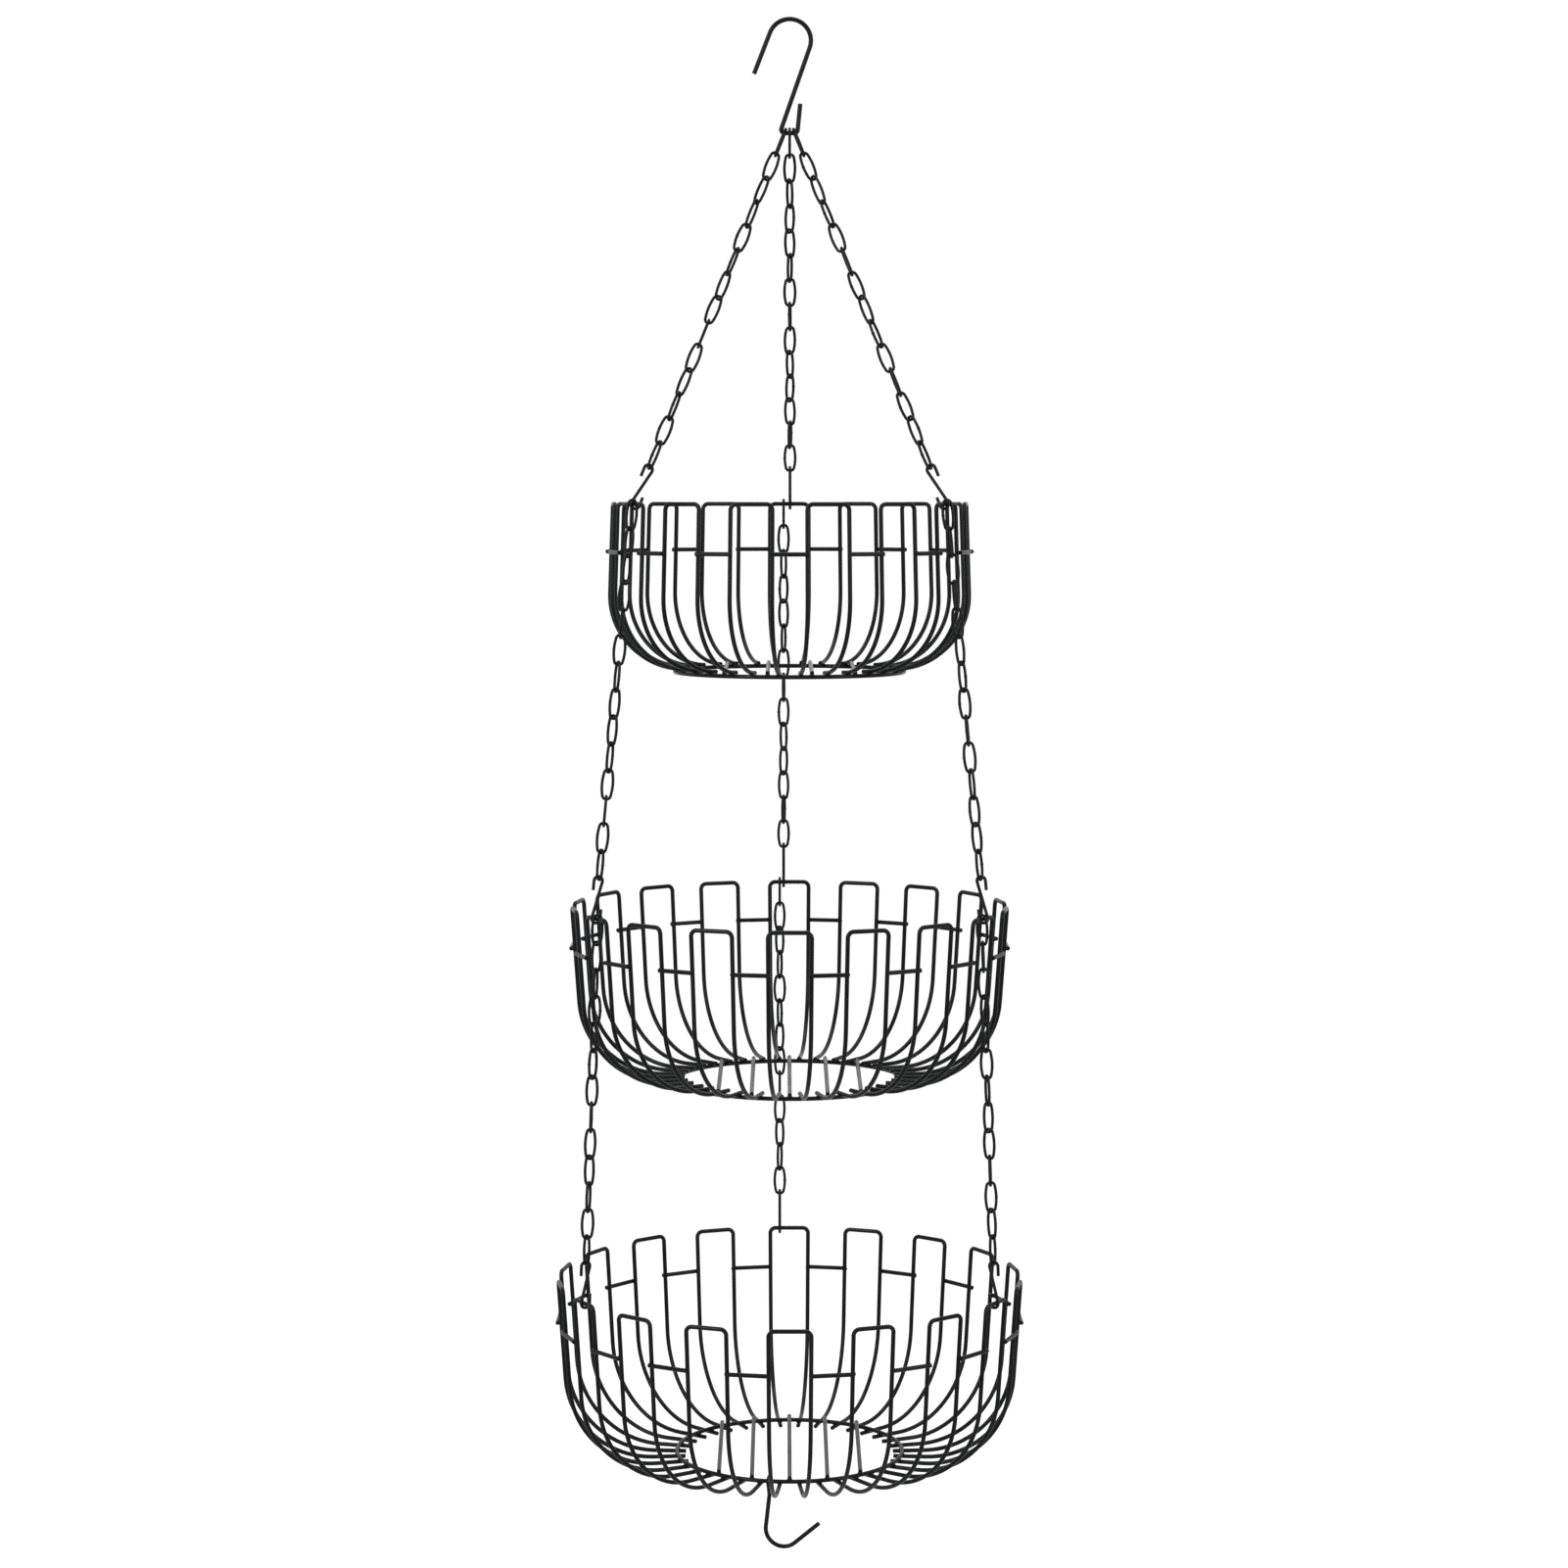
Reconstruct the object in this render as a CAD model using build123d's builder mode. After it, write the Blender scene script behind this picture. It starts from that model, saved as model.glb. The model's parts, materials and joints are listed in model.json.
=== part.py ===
# Hanging fruit basket: a top hook, three wire baskets one below the other,
# each hung on three link chains with S-hooks, and a small hook under the lowest.
# Millimetres, +Z up. The origin is the inside top of the hook's crook, where it hangs.

import math
import os
from dataclasses import dataclass

from build123d import *

# Wire stock, all round steel wire
basket_wire = 3.0
chain_wire = 2.0
s_hook_wire = 2.2
top_hook_wire = 3.2
bottom_hook_wire = 3.0

# Fits
weld_sink = 0.35  # how far a spot-welded wire presses into the wire that it crosses
chain_gap = 0.15  # play between one link and the next
hinge_gap = 0.35  # play where a link or hook turns on the wire that carries it

# Top hook: an open crook over a slim closed eye
crook_inner_radius = 13.0
crook_tip_length = 30.0
crook_tip_lean = 21.4  # degrees off the vertical
eye_drop = 75.9  # from the hanging point down to the axis of the eye's bar
eye_left = 6.8
eye_right = 5.3
eye_corner_radius = 2.4
eye_return_length = 20.0
eye_return_lean = 5.7  # degrees off the vertical
upper_anchor_step = 3.6  # between neighbouring chains on the eye's bar

# Chains
link_length = 22.5
link_width = 9.6
link_end_share = 0.79  # an end's bend radius, as a share of the half width; the sides bow out
link_turn = 110  # degrees; about how far each link is turned from the last
upper_links = 14
middle_links = 14
lower_links = 13

# S-hooks
s_hook_height = 34.0
s_hook_width = 9.4
s_hook_bend_radius = 3.1
s_hook_tip_length = 9.5

# Where a tier's chain and S-hook hang on a tab's top wire, measured from the tab's middle:
# the back ones to the viewer's left, the left and right ones towards the back
upper_back_seat = -0.5
middle_back_seat = 4.2
lower_back_seat = 7.1
upper_side_seat = -1.7
middle_side_seat = 1.7
lower_side_seat = -1.7

# Small basket
small_rim_radius = 123.0
small_wall_inset = -4.0
small_depth = 114.0
small_foot_straight = 1.2  # from a foot's end to where the heel's bend starts
small_bar_drop = 33.0
small_tab_count = 15
small_tab_share = 0.55

# Middle basket
middle_rim_radius = 152.5
middle_wall_inset = 8.5
middle_depth = 120.5
middle_foot_straight = 15.9
middle_bar_drop = 28.5
middle_tab_count = 18
middle_tab_share = 0.545

# Large basket
large_rim_radius = 163.5
large_wall_inset = 8.5
large_depth = 128.0
large_foot_straight = 23.0
large_bar_drop = 30.0
large_tab_count = 18
large_tab_share = 0.50

# What the three baskets share
tab_corner_radius = 4.0
base_ring_radius = 80.0
foot_overhang = 6.0  # how far a wall wire runs in past the base ring
floor_overhang = 1.0  # how far a floor wire runs out past the base ring's centreline
bar_overhang = 0.6  # how far a crossbar runs past the wall wire's centreline
small_floor_shares = (-0.556, -0.1875, 0.1875, 0.556)
wide_floor_shares = (-0.6125, -0.325, 0, 0.325, 0.6125)

# Bottom hook
bottom_eye_radius = 4.0  # centreline
bottom_eye_neck = 4.5  # from the eye down to where the shank is straight
bottom_eye_bend_radius = 2.2
bottom_eye_end_angle = -68.0  # degrees; where the eye's wire stops, short of the neck
bottom_corner_drop = 62.5  # from the base ring to the point that the crook's bend rounds off
bottom_corner_back = 6.0
bottom_crook_radius = 12.2
bottom_tip_reach = 34.6
bottom_tip_drop = 27.8

# The chains' places round each basket, seen from above: one at the back, the rest in thirds
back_azimuth = 90
places = ("back", "left", "right")
azimuths = {}
for step, place in enumerate(places):
    azimuths[place] = back_azimuth + step * 360 / len(places)
# Which way round the basket counts as positive at each place, mirrored left and right
sides = {"back": 1, "left": -1, "right": 1}


@dataclass
class Basket:
    """The sizes of one wire basket; its height is set later by the chains above."""

    name: str
    rim_radius: float
    wall_inset: float
    depth: float
    foot_straight: float
    bar_drop: float
    tab_count: int
    tab_share: float
    floor_shares: tuple
    ring_on_top: bool
    rim_height: float = 0

    @property
    def pitch(self):
        return 360 / self.tab_count

    @property
    def half_tab(self):
        return self.pitch * self.tab_share / 2

    @property
    def seat_radius(self):
        """How far the middle of a tab's straight top wire is from the basket's axis."""
        return self.rim_radius * math.cos(math.radians(self.half_tab))

    @property
    def foot_height(self):
        return self.rim_height - self.depth

    @property
    def heel_corner(self):
        """The radius where a wall wire's wall and foot would meet with no bend."""
        return self.rim_radius - self.wall_inset

    @property
    def flat_radius(self):
        """The radius where a wall wire's straight foot ends and its heel starts to bend."""
        return base_ring_radius - foot_overhang + self.foot_straight

    @property
    def heel_radius(self):
        """The bend that joins the foot to the leaning wall."""
        wall_lean = math.degrees(math.atan2(self.wall_inset, self.depth))
        return (self.heel_corner - self.flat_radius) * math.tan(math.radians((90 + wall_lean) / 2))

    @property
    def ring_height(self):
        """The base ring is welded under the wall wires, or in the large basket on them."""
        weld_step = basket_wire - weld_sink
        if self.ring_on_top:
            return self.foot_height + weld_step
        if base_ring_radius < self.flat_radius:
            return self.foot_height - weld_step
        # The ring sits where the heel has begun to rise
        heel_run = base_ring_radius - self.flat_radius
        heel_rise = math.sqrt((self.heel_radius + weld_step) ** 2 - heel_run**2)
        return self.foot_height + self.heel_radius - heel_rise

    @property
    def floor_height(self):
        return self.ring_height + basket_wire - weld_sink

    def wall_radius(self, drop):
        """The wall wires' distance from the axis, this far below the rim."""
        return self.rim_radius - self.wall_inset * drop / self.depth


def polar(radius, azimuth, height):
    """A point at this distance and direction from the vertical axis."""
    angle = math.radians(azimuth)
    return Vector(radius * math.cos(angle), radius * math.sin(angle), height)


def round_wire(path, diameter):
    """Sweep a round wire along a path; used inside a BuildPart block."""
    with BuildSketch(Plane(origin=path @ 0, z_dir=path % 0)) as section:
        Circle(diameter / 2)
    sweep(section.sketch, path=path)


# Top hook, bent from one wire in the XZ plane: crook, shank, eye
crook_radius = crook_inner_radius + top_hook_wire / 2
shank_rise = crook_inner_radius - eye_drop
shank_angle = math.degrees(math.atan2(shank_rise, -eye_left))
shank_angle += math.degrees(math.acos(crook_radius / math.hypot(shank_rise, eye_left)))
tip_angle = 180 - crook_tip_lean
return_lean = math.radians(eye_return_lean)
return_end = (
    eye_right + eye_return_length * math.sin(return_lean),
    eye_return_length * math.cos(return_lean) - eye_drop,
)

with BuildPart() as top_hook:
    with BuildLine(Plane.XZ) as top_hook_line:
        crook = CenterArc((0, -crook_inner_radius), crook_radius, shank_angle, tip_angle - shank_angle)
        PolarLine(crook @ 1, crook_tip_length, -90 - crook_tip_lean)
        FilletPolyline(
            crook @ 0,
            (-eye_left, -eye_drop),
            (eye_right, -eye_drop),
            return_end,
            radius=eye_corner_radius,
        )
    top_hook_path = top_hook_line.wire()
    round_wire(top_hook_path, top_hook_wire)

# One chain link and one S-hook, each upright in the XZ plane about the origin
link_side = (link_width - chain_wire) / 2
link_top = (link_length - chain_wire) / 2
link_end_radius = link_side * link_end_share
# A side's arc runs smoothly into the end's arc, so their centres line up with where they meet
end_middle = link_top - link_end_radius
side_radius = (link_side**2 - link_end_radius**2 + end_middle**2) / (link_side - link_end_radius) / 2
meet_angle = math.asin(end_middle / (side_radius - link_end_radius))
meet_x = link_end_radius * math.cos(meet_angle)
meet_z = link_end_radius * math.sin(meet_angle) + end_middle

with BuildPart() as link:
    with BuildLine(Plane.XZ) as link_line:
        ThreePointArc((meet_x, -meet_z), (link_side, 0), (meet_x, meet_z))
        ThreePointArc((meet_x, meet_z), (0, link_top), (-meet_x, meet_z))
        ThreePointArc((-meet_x, meet_z), (-link_side, 0), (-meet_x, -meet_z))
        ThreePointArc((-meet_x, -meet_z), (0, -link_top), (meet_x, -meet_z))
    link_path = link_line.wire()
    round_wire(link_path, chain_wire)

s_hook_side = (s_hook_width - s_hook_wire) / 2
s_hook_top = (s_hook_height - s_hook_wire) / 2

with BuildPart() as s_hook:
    with BuildLine(Plane.XZ) as s_hook_line:
        FilletPolyline(
            (s_hook_side, s_hook_top - s_hook_tip_length),
            (s_hook_side, s_hook_top),
            (-s_hook_side, s_hook_top),
            (s_hook_side, -s_hook_top),
            (-s_hook_side, -s_hook_top),
            (-s_hook_side, s_hook_tip_length - s_hook_top),
            radius=s_hook_bend_radius,
        )
    s_hook_path = s_hook_line.wire()
    round_wire(s_hook_path, s_hook_wire)

# A chain pulled straight: the first link's place, and the length of chain and S-hook together
link_hold = link_length - 2 * chain_wire


def chain_reach(links, start_wire, end_wire):
    """From the wire that carries the chain to the wire that its S-hook carries."""
    chain = links * (link_hold - chain_gap)
    hook = s_hook_height - 2 * s_hook_wire
    return chain + hook - 2 * hinge_gap - (start_wire + end_wire) / 2


def upright(point, up, along):
    """A plane whose Z runs up the chain and whose Y lies along the wire it hangs on."""
    across = along.cross(up).normalized()
    return Plane(origin=point, x_dir=across, z_dir=up)


def hang_chain(name, start, end, start_wire, start_along, end_along, links):
    """Links evenly spread and evenly turned from one wire down to an S-hook on the next."""
    up = (start - end).normalized()
    spare = chain_reach(links, start_wire, basket_wire) - (start - end).length
    spacing = link_hold - chain_gap - spare / links
    first_middle = (link_length - chain_wire) / 2 - (start_wire + chain_wire) / 2 - hinge_gap
    first_plane = upright(start - up * first_middle, up, start_along)
    # The last link has to stand square to the S-hook's plane
    s_hook_drop = (s_hook_wire + basket_wire) / 2 + hinge_gap - s_hook_top
    s_hook_plane = upright(end - up * s_hook_drop, up, end_along)
    square = first_plane.x_dir.get_signed_angle(s_hook_plane.y_dir, up)
    half_turns = round((link_turn * (links - 1) - square) / 180)
    turn = (square + half_turns * 180) / (links - 1)
    link_places = []
    for index in range(links):
        link_place = first_plane.location * Location((0, 0, -index * spacing), (0, 0, index * turn))
        link_places.append(link_place)
    with BuildPart() as chain:
        with Locations(*link_places):
            add(link.part)
    with BuildPart() as hook:
        with Locations(s_hook_plane.location):
            add(s_hook.part)
    parts[name.replace("hanger", "chain")] = chain.part
    parts[name.replace("hanger", "s_hook")] = hook.part
    print(name, "link gap", round(chain_gap + spare / links, 3), "turn", round(turn, 1))


def tangent(azimuth):
    """The direction of a tab's straight top wire at this place round a basket."""
    return polar(1, azimuth + 90, 0)


def ring_of(piece, count):
    """Copies of a piece made on the +X side, evenly round the vertical axis."""
    with BuildPart() as group:
        with PolarLocations(0, count, start_angle=back_azimuth):
            add(piece)
    return group.part


def side_wires(basket):
    """Inverted U wires: each stands on two feet and makes one tab of the rim."""
    foot_radius = base_ring_radius - foot_overhang
    heel_corner = basket.heel_corner
    half = basket.half_tab
    with BuildPart() as wire:
        with BuildLine() as line:
            FilletPolyline(
                polar(foot_radius, -half, basket.foot_height),
                polar(heel_corner, -half, basket.foot_height),
                polar(basket.rim_radius, -half, basket.rim_height),
                polar(basket.rim_radius, half, basket.rim_height),
                polar(heel_corner, half, basket.foot_height),
                polar(foot_radius, half, basket.foot_height),
                radius=[basket.heel_radius, tab_corner_radius, tab_corner_radius, basket.heel_radius],
            )
        path = line.wire()
        round_wire(path, basket_wire)
    return ring_of(wire.part, basket.tab_count)


def crossbars(basket):
    """Short straight bars, welded outside the wall, that join each tab to the next."""
    radius = basket.wall_radius(basket.bar_drop) + basket_wire - weld_sink
    height = basket.rim_height - basket.bar_drop
    start = polar(radius, basket.half_tab, height)
    end = polar(radius, basket.pitch - basket.half_tab, height)
    overhang = (end - start).normalized() * bar_overhang
    with BuildPart() as bar:
        with BuildLine() as line:
            Line(start - overhang, end + overhang)
        path = line.wire()
        round_wire(path, basket_wire)
    return ring_of(bar.part, basket.tab_count)


def base_ring(basket):
    with BuildPart() as ring:
        with Locations((0, 0, basket.ring_height)):
            Torus(base_ring_radius, basket_wire / 2)
    return ring.part


def floor_wires(basket):
    """Parallel wires from front to back, their ends welded on the base ring."""
    with BuildPart() as wires:
        for share in basket.floor_shares:
            across = base_ring_radius * share
            half_length = math.sqrt(base_ring_radius**2 - across**2) + floor_overhang
            with BuildLine() as line:
                Line((across, -half_length, basket.floor_height), (across, half_length, basket.floor_height))
            path = line.wire()
            round_wire(path, basket_wire)
    return wires.part


small = Basket(
    "small",
    small_rim_radius,
    small_wall_inset,
    small_depth,
    small_foot_straight,
    small_bar_drop,
    small_tab_count,
    small_tab_share,
    small_floor_shares,
    ring_on_top=False,
)
middle = Basket(
    "middle",
    middle_rim_radius,
    middle_wall_inset,
    middle_depth,
    middle_foot_straight,
    middle_bar_drop,
    middle_tab_count,
    middle_tab_share,
    wide_floor_shares,
    ring_on_top=False,
)
large = Basket(
    "large",
    large_rim_radius,
    large_wall_inset,
    large_depth,
    large_foot_straight,
    large_bar_drop,
    large_tab_count,
    large_tab_share,
    wide_floor_shares,
    ring_on_top=True,
)

parts = {"top_hook": top_hook.part}

# The three upper chains hang side by side on the eye's bar
upper_starts = {}
for place, step in (("left", -1), ("back", 0), ("right", 1)):
    upper_starts[place] = Vector(step * upper_anchor_step, 0, -eye_drop)


def seat(basket, place, sideways):
    """A point on the axis of a tab's top wire, this far from the tab's middle."""
    middle_point = polar(basket.seat_radius, azimuths[place], basket.rim_height)
    return middle_point + tangent(azimuths[place]) * sideways * sides[place]


def hang_basket(basket, starts, seats, start_wire, links):
    """Set a basket's height from the chains that carry it, pulled straight."""
    reach = chain_reach(links, start_wire, basket_wire)
    farthest = 0
    for place, start in starts.items():
        end = seat(basket, place, seats[place])
        farthest = max(farthest, math.hypot(end.X - start.X, end.Y - start.Y))
    basket.rim_height = start.Z - math.sqrt(reach**2 - farthest**2)
    print(basket.name, "basket: rim at", round(basket.rim_height, 2), "chain reach", round(reach, 2))


def add_basket(basket):
    parts[basket.name + "_side_wires"] = side_wires(basket)
    parts[basket.name + "_crossbars"] = crossbars(basket)
    parts[basket.name + "_base_ring"] = base_ring(basket)
    parts[basket.name + "_floor_wires"] = floor_wires(basket)


# A tier's chain and S-hook keep to one place along the tabs, clear of the next tier's
tiers = (
    ("upper", None, small, upper_links, upper_back_seat, upper_side_seat),
    ("middle", small, middle, middle_links, middle_back_seat, middle_side_seat),
    ("lower", middle, large, lower_links, lower_back_seat, lower_side_seat),
)
for tier, above, below, links, back_seat, side_seat in tiers:
    seats = {"back": back_seat, "left": side_seat, "right": side_seat}
    starts = {}
    for place in places:
        starts[place] = seat(above, place, seats[place]) if above else upper_starts[place]
    start_wire = basket_wire if above else top_hook_wire
    hang_basket(below, starts, seats, start_wire, links)
    for place, start in starts.items():
        start_along = tangent(azimuths[place]) if above else Vector(1, 0, 0)
        end = seat(below, place, seats[place])
        name = f"{tier}_hanger_{place}"
        hang_chain(name, start, end, start_wire, start_along, tangent(azimuths[place]), links)
    add_basket(below)

# Bottom hook: an eye round the large basket's base ring, a shank and an open crook
bottom_azimuth = back_azimuth + 180 - large.pitch / 2
hook_plane = Plane(
    origin=polar(base_ring_radius, bottom_azimuth, large.ring_height),
    x_dir=tangent(bottom_azimuth),
    z_dir=(0, 0, 1),
)
eye_height = (basket_wire + bottom_hook_wire) / 2 + hinge_gap - bottom_eye_radius
neck_drop = bottom_eye_radius + bottom_eye_neck
neck_angle = 270 - math.degrees(math.acos(bottom_eye_radius / neck_drop))


def eye_point(angle):
    """A point on the bottom hook's eye, in the plane square to the base ring."""
    turn = math.radians(angle)
    return (0, bottom_eye_radius * math.cos(turn), eye_height + bottom_eye_radius * math.sin(turn))


with BuildPart() as bottom_hook:
    with BuildLine(hook_plane) as bottom_hook_line:
        FilletPolyline(
            (bottom_tip_reach, 0, -bottom_tip_drop),
            (-bottom_corner_back, 0, -bottom_corner_drop),
            (0, 0, eye_height - neck_drop),
            eye_point(neck_angle),
            radius=[bottom_crook_radius, bottom_eye_bend_radius],
        )
        ThreePointArc(
            eye_point(neck_angle),
            eye_point((neck_angle + bottom_eye_end_angle) / 2),
            eye_point(bottom_eye_end_angle),
        )
    bottom_hook_path = bottom_hook_line.wire()
    round_wire(bottom_hook_path, bottom_hook_wire)
parts["bottom_hook"] = bottom_hook.part

os.makedirs("parts", exist_ok=True)
for label, part in parts.items():
    part.label = label
    export_step(part, f"parts/{label}.step")
print(len(parts), "nodes written")
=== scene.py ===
# %% [markdown]
# # A three-tier hanging basket in black coated wire
# The wires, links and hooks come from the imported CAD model, and their shapes are kept. This
# lesson adds what a maker's finish adds: powder coat, lacquered chain, the small weld nuggets
# that hold the wires together, and the seam where each chain link was closed. It ends with a
# plain pale studio and a camera at the photograph's angle.

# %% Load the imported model
import json
import math
import random

import bmesh
import bpy
import numpy
from mathutils import Matrix, Vector

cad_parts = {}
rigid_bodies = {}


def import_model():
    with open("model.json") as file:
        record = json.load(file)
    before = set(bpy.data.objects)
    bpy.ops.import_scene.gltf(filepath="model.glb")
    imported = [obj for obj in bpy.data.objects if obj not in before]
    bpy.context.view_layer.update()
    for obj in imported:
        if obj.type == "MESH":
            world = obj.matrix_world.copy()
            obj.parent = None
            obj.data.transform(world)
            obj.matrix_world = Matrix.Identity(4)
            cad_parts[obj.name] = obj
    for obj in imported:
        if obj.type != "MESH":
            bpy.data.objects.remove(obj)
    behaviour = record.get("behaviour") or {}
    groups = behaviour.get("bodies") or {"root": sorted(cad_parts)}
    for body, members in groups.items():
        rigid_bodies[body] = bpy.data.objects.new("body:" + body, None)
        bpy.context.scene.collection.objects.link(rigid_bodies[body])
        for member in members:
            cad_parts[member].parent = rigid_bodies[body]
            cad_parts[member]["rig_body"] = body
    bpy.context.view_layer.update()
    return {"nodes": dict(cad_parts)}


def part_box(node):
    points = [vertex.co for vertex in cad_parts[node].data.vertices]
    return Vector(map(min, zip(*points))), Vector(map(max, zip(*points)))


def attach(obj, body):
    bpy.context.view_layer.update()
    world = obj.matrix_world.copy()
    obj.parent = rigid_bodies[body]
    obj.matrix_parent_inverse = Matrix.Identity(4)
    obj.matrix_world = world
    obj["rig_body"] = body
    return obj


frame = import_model()

# %% [markdown]
# ## Two small helpers
# Colours are written as sRGB hex values, as a paint chart gives them, and one function turns
# them to the linear values that Blender's shaders want. A second one adds a node, sets its
# sockets and links it, so that each material below reads as a short list of layers.


# %% Colour and node helpers
MM = 0.001


def linear(hex_colour):
    """An sRGB hex colour as the linear RGBA that a shader socket takes."""
    channels = [int(hex_colour[i : i + 2], 16) / 255 for i in (1, 3, 5)]
    spread = [c / 12.92 if c <= 0.04045 else ((c + 0.055) / 1.055) ** 2.4 for c in channels]
    return (*spread, 1.0)


def add_node(tree, kind, settings=None, sockets=None, links=None):
    """Add a node, set its properties and socket values, and link other nodes' outputs to it."""
    node = tree.nodes.new(kind)
    for name, value in (settings or {}).items():
        setattr(node, name, value)
    for name, value in (sockets or {}).items():
        node.inputs[name].default_value = value
    for name, output in (links or {}).items():
        tree.links.new(output, node.inputs[name])
    return node


def new_material(name):
    """An empty node material with its output node, ready for a shader."""
    material = bpy.data.materials.new(name)
    material.use_nodes = True
    material.node_tree.nodes.clear()
    output = add_node(material.node_tree, "ShaderNodeOutputMaterial")
    return material, material.node_tree, output


# %% [markdown]
# ## Black powder coat for the baskets and hooks
# The wire is cold-drawn steel, welded, then sprayed with dry polyester powder and baked. The
# melted powder flows into a skin about 0.08 mm thick: black, semi-gloss, with the faint
# pebbling called orange peel. On a 3 mm wire that pebbling shows as a highlight that
# wavers along the wire. It could be painted as streaks, but a fine bump does it under any light.
# The white studio is mirrored all round a thin round wire and turns black to grey, so the
# specular level is set well under the 0.5 that a resin starts from, until the wire looks as
# black as the photographed one.


# %% Powder coat
def powder_coat():
    material, tree, output = new_material("black_powder_coat")
    place = add_node(tree, "ShaderNodeTexCoord")
    # Orange peel is about 1 mm across; drawn at 1.6 mm so that it shows at this size
    peel = add_node(
        tree,
        "ShaderNodeTexNoise",
        sockets={"Scale": 1 / (1.6 * MM), "Detail": 2.0, "Roughness": 0.5},
        links={"Vector": place.outputs["Object"]},
    )
    # Slow drift in how thick the powder lay, over about 40 mm of wire
    drift = add_node(
        tree,
        "ShaderNodeTexNoise",
        sockets={"Scale": 1 / (40 * MM), "Detail": 3.0, "Roughness": 0.6},
        links={"Vector": place.outputs["Object"]},
    )
    colour = add_node(tree, "ShaderNodeValToRGB", links={"Fac": drift.outputs["Fac"]})
    colour.color_ramp.elements[0].position = 0.35
    colour.color_ramp.elements[0].color = linear("#0d0e0f")
    colour.color_ramp.elements[1].position = 0.7
    colour.color_ramp.elements[1].color = linear("#17181a")
    gloss = add_node(
        tree,
        "ShaderNodeMapRange",
        sockets={"From Min": 0.3, "From Max": 0.7, "To Min": 0.2, "To Max": 0.32},
        links={"Value": drift.outputs["Fac"]},
    )
    bump = add_node(
        tree,
        "ShaderNodeBump",
        sockets={"Strength": 0.2, "Distance": 0.04 * MM},
        links={"Height": peel.outputs["Fac"]},
    )
    shader = add_node(
        tree,
        "ShaderNodeBsdfPrincipled",
        sockets={"IOR": 1.5, "Metallic": 0.0, "Specular IOR Level": 0.09},
        links={
            "Base Color": colour.outputs["Color"],
            "Roughness": gloss.outputs["Result"],
            "Normal": bump.outputs["Normal"],
        },
    )
    tree.links.new(shader.outputs["BSDF"], output.inputs["Surface"])
    return material


basket_coat = powder_coat()
print("material:", basket_coat.name)

# %% [markdown]
# ## Black lacquer for the chains and S-hooks
# Chain is bought by the metre, tumbled with black lacquer and not powder coated, because powder
# would glue the links together. The skin is thinner and more satin, and where it was rubbed
# thin the steel makes it a shade greyer. A noise about as long as a link sets those shades.


# %% Chain lacquer
def chain_lacquer():
    material, tree, output = new_material("black_lacquered_steel_chain")
    place = add_node(tree, "ShaderNodeTexCoord")
    # Rubbed places come about every 9 mm, a link's width
    rubbed = add_node(
        tree,
        "ShaderNodeTexNoise",
        sockets={"Scale": 1 / (9 * MM), "Detail": 3.0, "Roughness": 0.65},
        links={"Vector": place.outputs["Object"]},
    )
    # Tumbling marks, 0.7 mm
    marks = add_node(
        tree,
        "ShaderNodeTexNoise",
        sockets={"Scale": 1 / (0.7 * MM), "Detail": 2.0},
        links={"Vector": place.outputs["Object"]},
    )
    colour = add_node(tree, "ShaderNodeValToRGB", links={"Fac": rubbed.outputs["Fac"]})
    colour.color_ramp.elements[0].position = 0.45
    colour.color_ramp.elements[0].color = linear("#0e0f10")
    colour.color_ramp.elements[1].position = 0.75
    colour.color_ramp.elements[1].color = linear("#1f2022")
    gloss = add_node(
        tree,
        "ShaderNodeMapRange",
        sockets={"From Min": 0.35, "From Max": 0.75, "To Min": 0.36, "To Max": 0.24},
        links={"Value": rubbed.outputs["Fac"]},
    )
    bump = add_node(
        tree,
        "ShaderNodeBump",
        sockets={"Strength": 0.2, "Distance": 0.03 * MM},
        links={"Height": marks.outputs["Fac"]},
    )
    shader = add_node(
        tree,
        "ShaderNodeBsdfPrincipled",
        sockets={"IOR": 1.5, "Metallic": 0.0, "Specular IOR Level": 0.09},
        links={
            "Base Color": colour.outputs["Color"],
            "Roughness": gloss.outputs["Result"],
            "Normal": bump.outputs["Normal"],
        },
    )
    tree.links.new(shader.outputs["BSDF"], output.inputs["Surface"])
    return material


chain_coat = chain_lacquer()
print("material:", chain_coat.name)

# %% Give the CAD nodes their finish
for name, node in frame["nodes"].items():
    finish = chain_coat if "chain" in name or "s_hook" in name else basket_coat
    node.data.materials.clear()
    node.data.materials.append(finish)
print("finished nodes:", len(frame["nodes"]))

# %% [markdown]
# ## Where the basket wires cross
# Each basket is a jig full of bent wires, spot-welded where they cross: crossbar on leg, foot on
# base ring, floor wire on base ring. The CAD model holds the wires and lets them sink into each
# other a little. The weld itself squeezes out a small lens of metal between the two
# wires, and the powder softens it. Each lens is a small sphere, flattened across the joint,
# a little different in size from its neighbours, and a basket's welds are one mesh.


# %% Basket sizes, as the CAD model has them
WIRE = 3.0 * MM
BASE_RING_RADIUS = 80.0 * MM
BASKETS = {
    "small": {
        "body": "upper_tier",
        "rim_radius": 123.0 * MM,
        "wall_inset": -4.0 * MM,
        "depth": 114.0 * MM,
        "tabs": 15,
        "tab_share": 0.55,
        "floor_shares": (-0.556, -0.1875, 0.1875, 0.556),
    },
    "middle": {
        "body": "middle_basket",
        "rim_radius": 152.5 * MM,
        "wall_inset": 8.5 * MM,
        "depth": 120.5 * MM,
        "tabs": 18,
        "tab_share": 0.545,
        "floor_shares": (-0.6125, -0.325, 0.0, 0.325, 0.6125),
    },
    "large": {
        "body": "large_basket",
        "rim_radius": 163.5 * MM,
        "wall_inset": 8.5 * MM,
        "depth": 128.0 * MM,
        "tabs": 18,
        "tab_share": 0.50,
        "floor_shares": (-0.6125, -0.325, 0.0, 0.325, 0.6125),
    },
}


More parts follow.
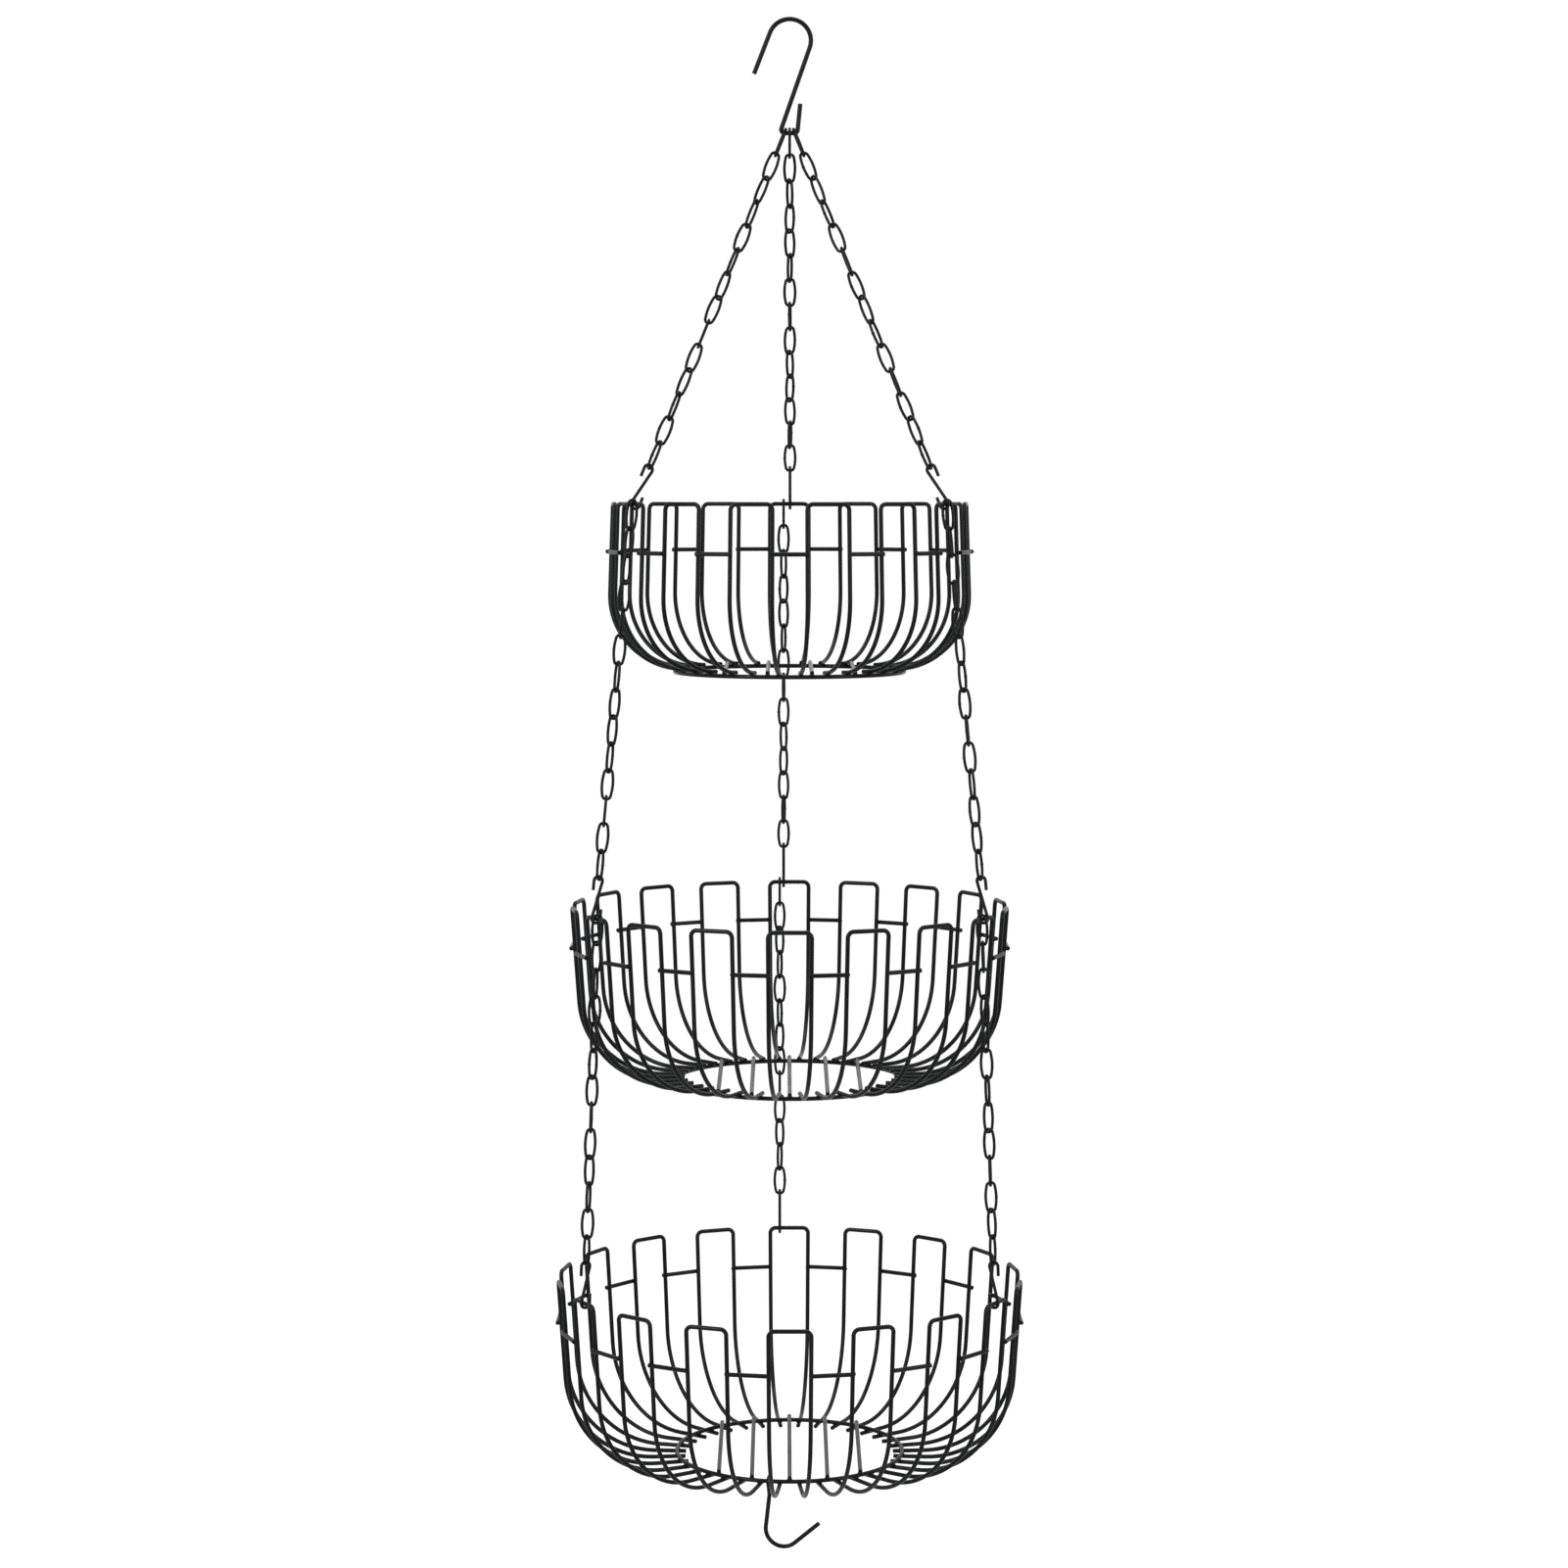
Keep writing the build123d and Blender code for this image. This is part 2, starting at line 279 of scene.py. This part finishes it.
def middle_height(node):
    """The height of the middle of a flat node, such as a ring, read from its CAD box."""
    low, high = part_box(node)
    return (low.z + high.z) / 2


def leg_azimuths(basket):
    """The directions of all the legs of a basket's tabs, in degrees."""
    pitch = 360 / basket["tabs"]
    half = pitch * basket["tab_share"] / 2
    azimuths = []
    for tab in range(basket["tabs"]):
        azimuths += [90 + tab * pitch - half, 90 + tab * pitch + half]
    return azimuths


print("baskets:", ", ".join(BASKETS))

# %% One weld lens
lens_random = random.Random(7)
SIZE_SPREAD = 0.12  # how far a weld's size strays from its neighbours', either way
SKIN_SPREAD = 0.05  # how far its skin strays from a smooth lens, as a share of its size


def add_lens(build, place, turn, half_sizes):
    """Add a flattened sphere with these half sizes, turned by a rotation matrix, to a mesh."""
    vary = lens_random.uniform(1 - SIZE_SPREAD, 1 + SIZE_SPREAD)
    scale = Matrix.Diagonal((*[size * vary for size in half_sizes], 1))
    matrix = Matrix.Translation(place) @ turn.to_4x4() @ scale
    made = bmesh.ops.create_icosphere(build, subdivisions=2, radius=1.0, matrix=matrix)
    for corner in made["verts"]:
        stray = lens_random.uniform(-SKIN_SPREAD, SKIN_SPREAD)
        corner.co += (corner.co - Vector(place)) * stray


def finish_mesh(build, name, material, body):
    """Turn a bmesh into a smooth object with its material, riding on a CAD body."""
    mesh = bpy.data.meshes.new(name)
    build.to_mesh(mesh)
    build.free()
    mesh.shade_smooth()
    mesh.materials.append(material)
    piece = bpy.data.objects.new(name, mesh)
    bpy.context.scene.collection.objects.link(piece)
    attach(piece, body)
    return piece


def outward(azimuth):
    """A rotation whose X points away from the axis in this direction, with Z up."""
    return Matrix.Rotation(math.radians(azimuth), 3, "Z")


# %% Weld every crossing of the three baskets
LEG_TO_WELD = 1.3 * MM  # from a leg's middle out to the weld between it and a crossbar
# Half sizes: out from the axis, along the wall and up
CROSSBAR_WELD = (0.9 * MM, 1.7 * MM, 1.9 * MM)
FLAT_WELD = (2.0 * MM, 2.0 * MM, 0.9 * MM)
BUTT_WELD = (1.7 * MM, 2.1 * MM, 1.7 * MM)


def basket_welds(name, basket):
    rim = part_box(name + "_side_wires")[1].z - WIRE / 2
    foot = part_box(name + "_side_wires")[0].z + WIRE / 2
    ring = middle_height(name + "_base_ring")
    floor = middle_height(name + "_floor_wires")
    bar = middle_height(name + "_crossbars")
    drop_share = (rim - bar) / basket["depth"]
    wall = basket["rim_radius"] - basket["wall_inset"] * drop_share
    build = bmesh.new()
    for azimuth in leg_azimuths(basket):
        turn = outward(azimuth)
        # Crossbar on leg, just outside the leg
        place = turn @ Vector((wall + LEG_TO_WELD, 0, bar))
        add_lens(build, place, turn, CROSSBAR_WELD)
        # Foot on base ring
        place = turn @ Vector((BASE_RING_RADIUS, 0, (foot + ring) / 2))
        add_lens(build, place, turn, FLAT_WELD)
    for share in basket["floor_shares"]:
        across = BASE_RING_RADIUS * share
        along = math.sqrt(BASE_RING_RADIUS**2 - across**2)
        for side in (-1, 1):
            place = Vector((across, side * along, (floor + ring) / 2))
            add_lens(build, place, outward(0), FLAT_WELD)
    # The base ring's own butt weld, at the back
    place = Vector((0, BASE_RING_RADIUS, ring))
    add_lens(build, place, outward(90), BUTT_WELD)
    return finish_mesh(build, name + "_welds", basket_coat, basket["body"])


for name, basket in BASKETS.items():
    welds = basket_welds(name, basket)
    print(welds.name, "faces:", len(welds.data.polygons))

# %% [markdown]
# ## The seam of each chain link
# A link is a cut length of 2 mm wire, bent round until its two ends meet in the middle of one
# long side, and welded there, which leaves a low bulge. Each link stands at its own angle, so the
# bulge is placed from the link itself: its vertices give its middle and its long and wide axes.


# %% Find the links and add their seams
MICROMETRES = 1e6  # in a metre; vertices that share a micrometre count as one


def link_frames(node):
    """The middle and the length, width and thickness directions of each link in a chain."""
    mesh = node.data
    points = numpy.zeros(len(mesh.vertices) * 3)
    mesh.vertices.foreach_get("co", points)
    points = points.reshape(-1, 3)
    edges = numpy.zeros(len(mesh.edges) * 2, int)
    mesh.edges.foreach_get("vertices", edges)
    edges = edges.reshape(-1, 2)
    # Spread the lowest vertex number along the edges until each link has one number;
    # vertices split by their normals share a place, so places are joined first
    keys = numpy.round(points * MICROMETRES).astype(numpy.int64)
    places, group = numpy.unique(keys, axis=0, return_inverse=True)
    group = group.reshape(-1)
    first, second = group[edges[:, 0]], group[edges[:, 1]]
    label = numpy.arange(len(places))
    while True:
        lower = label.copy()
        numpy.minimum.at(lower, first, label[second])
        numpy.minimum.at(lower, second, label[first])
        lower = lower[lower]
        if (lower == label).all():
            break
        label = lower
    frames = []
    for number in numpy.unique(label):
        link = places[label == number] / MICROMETRES
        middle = (link.min(axis=0) + link.max(axis=0)) / 2
        spread = numpy.linalg.svd(link - link.mean(axis=0), full_matrices=False)[2]
        frames.append((Vector(middle), Matrix(spread).transposed()))
    return frames


LINK_SIDE = 3.8 * MM  # from a link's middle to the middle of its side wire
SEAM_BULGE = (1.3 * MM, 1.15 * MM, 1.15 * MM)  # half sizes: along the wire, and across it twice


def chain_seams(name, node, body):
    build = bmesh.new()
    frames = link_frames(node)
    for middle, turn in frames:
        place = middle + turn @ Vector((0, LINK_SIDE, 0))
        add_lens(build, place, turn, SEAM_BULGE)
    finish_mesh(build, name + "_seams", chain_coat, body)
    return len(frames)


for name, node in frame["nodes"].items():
    if "chain" in name:
        print(name, "seams:", chain_seams(name, node, node["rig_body"]))

# %% [markdown]
# ## The studio
# A pale floor lies well under the hanging set, and the world is white to the camera and to
# glossy rays, as a white studio is. Big soft lamps to the left, right and above put one long
# soft highlight on each wire, which is what shows that it is round.


# %% Floor and world
def studio_floor(height, radius):
    mesh = bpy.data.meshes.new("studio_floor")
    build = bmesh.new()
    around = 96
    bmesh.ops.create_circle(build, cap_ends=True, radius=radius, segments=around)
    build.to_mesh(mesh)
    build.free()
    floor = bpy.data.objects.new("studio_floor", mesh)
    floor.location = (0, 0, height)
    bpy.context.scene.collection.objects.link(floor)
    material, tree, output = new_material("pale_studio_paper")
    paper = add_node(tree, "ShaderNodeBsdfDiffuse", sockets={"Color": linear("#f2f2f1")})
    # Half a white on top, for the camera alone, so that the far edge meets the backdrop
    ray = add_node(tree, "ShaderNodeLightPath")
    lift = add_node(
        tree,
        "ShaderNodeMath",
        settings={"operation": "MULTIPLY"},
        sockets={1: 0.5},
        links={0: ray.outputs["Is Camera Ray"]},
    )
    glow = add_node(
        tree,
        "ShaderNodeEmission",
        sockets={"Color": linear("#ffffff")},
        links={"Strength": lift.outputs[0]},
    )
    both = add_node(
        tree,
        "ShaderNodeAddShader",
        links={0: paper.outputs[0], 1: glow.outputs[0]},
    )
    tree.links.new(both.outputs[0], output.inputs["Surface"])
    mesh.materials.append(material)
    return floor


floor_height = -1.75
floor_radius = 5.0
studio_floor(floor_height, floor_radius)

world = bpy.data.worlds.new("white_studio")
bpy.context.scene.world = world
world.use_nodes = True
tree = world.node_tree
tree.nodes.clear()
ray = add_node(tree, "ShaderNodeLightPath")
seen = add_node(
    tree,
    "ShaderNodeMath",
    settings={"operation": "MAXIMUM"},
    links={0: ray.outputs["Is Camera Ray"], 1: ray.outputs["Is Transmission Ray"]},
)
shone = add_node(
    tree,
    "ShaderNodeMath",
    settings={"operation": "MAXIMUM"},
    links={0: seen.outputs[0], 1: ray.outputs["Is Glossy Ray"]},
)
level = add_node(
    tree,
    "ShaderNodeMapRange",
    sockets={"From Min": 0.0, "From Max": 1.0, "To Min": 0.5, "To Max": 1.0},
    links={"Value": shone.outputs[0]},
)
sky = add_node(
    tree,
    "ShaderNodeBackground",
    sockets={"Color": linear("#ffffff")},
    links={"Strength": level.outputs["Result"]},
)
add_node(tree, "ShaderNodeOutputWorld", links={"Surface": sky.outputs[0]})
print("studio floor at", floor_height, "m")


# %% Lamps
def soft_lamp(name, place, target, width, height, watts):
    """A rectangular softbox of this size and power that faces the target."""
    light = bpy.data.lights.new(name, "AREA")
    light.shape = "RECTANGLE"
    light.size = width
    light.size_y = height
    light.energy = watts
    lamp = bpy.data.objects.new(name, light)
    aim = Vector(target) - Vector(place)
    lamp.rotation_euler = aim.to_track_quat("-Z", "Y").to_euler()
    lamp.location = place
    bpy.context.scene.collection.objects.link(lamp)


middle_of_set = (0, 0, -0.5)
soft_lamp("key_softbox", (-1.9, -2.1, 0.7), middle_of_set, 0.5, 1.8, 60)
soft_lamp("fill_softbox", (2.2, -1.6, 0.1), middle_of_set, 0.4, 1.6, 25)
soft_lamp("top_softbox", (0.2, 0.5, 1.6), middle_of_set, 1.6, 1.2, 35)
print("lamps: 3")

# %% [markdown]
# ## The camera
# The photograph looks at the set from about the small basket's rim, 2.4 m away: that rim shows
# as a line, and the lower baskets open up more and more. The camera sits at that height and
# tips down by 4.7 degrees, so that the frame holds the set from hook to hook with no shift.

# %% Camera
camera_distance = 2.4
camera_height = -0.328  # just above the small basket's rim
camera_aside = -0.0039  # the photograph's middle lies this far left of the set's axis
tip_down = 4.722  # degrees
camera_data = bpy.data.cameras.new("photo_camera")
camera_data.sensor_width = 36.0
camera_data.lens = 78.95
camera = bpy.data.objects.new("photo_camera", camera_data)
camera.location = (camera_aside, -camera_distance, camera_height)
camera.rotation_euler = (math.radians(90 - tip_down), 0, 0)
bpy.context.scene.collection.objects.link(camera)
bpy.context.scene.camera = camera
bpy.context.scene.view_settings.view_transform = "Standard"
print("camera lens:", camera_data.lens, "mm")
